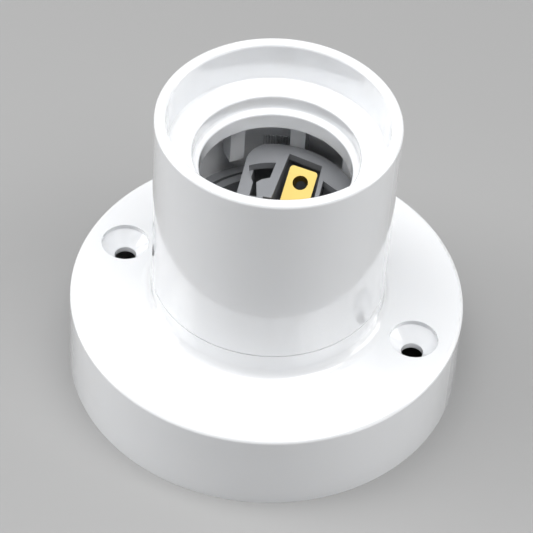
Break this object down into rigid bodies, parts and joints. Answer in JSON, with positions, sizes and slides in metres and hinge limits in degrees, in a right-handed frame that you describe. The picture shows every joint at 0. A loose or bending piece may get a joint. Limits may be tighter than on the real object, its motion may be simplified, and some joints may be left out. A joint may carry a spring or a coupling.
{
  "type": "batten lamp holder",
  "caption": "Surface-mounted lamp holder with a round base, a deep cylindrical cup with stepped ledges, a threaded throat and sprung brass contacts.",
  "frame": {"origin": "centre of the back face of the base, on the lamp axis", "axes": "+Z along the lamp axis out of the cup, X through the two fixing holes"},
  "size_m": [0.076, 0.076, 0.0619],
  "materials": {
    "white_plastic": "glossy",
    "dark_plastic": "satin",
    "brass": "bright",
    "plated_steel": "bright zinc"
  },
  "bodies": {
    "holder": {"base": "white_plastic", "sleeve": "white_plastic", "contact_carrier": "dark_plastic", "side_strip": "brass", "centre_strip": "brass", "side_clamp_plate": "plated_steel", "centre_clamp_plate": "plated_steel", "side_terminal_screw": "plated_steel", "centre_terminal_screw": "plated_steel", "carrier_screw_front": "plated_steel", "carrier_screw_back": "plated_steel"},
    "side_leaf": {"side_contact": "brass"},
    "centre_leaf": {"centre_contact": "brass"}
  },
  "joints": [
    {"name": "side_leaf_press", "type": "hinge", "parent": "holder", "child": "side_leaf", "pos_m": [0.0028, 0.00301, 0.03695], "axis": [-0.9945, -0.1045, 0], "range_deg": [0, 6], "stiffness_Nm_per_rad": 0.12},
    {"name": "centre_leaf_press", "type": "hinge", "parent": "holder", "child": "centre_leaf", "pos_m": [0.00135, -0.00636, 0.03649], "axis": [-0.9781, -0.2079, 0], "range_deg": [0, 7], "stiffness_Nm_per_rad": 0.12}
  ]
}
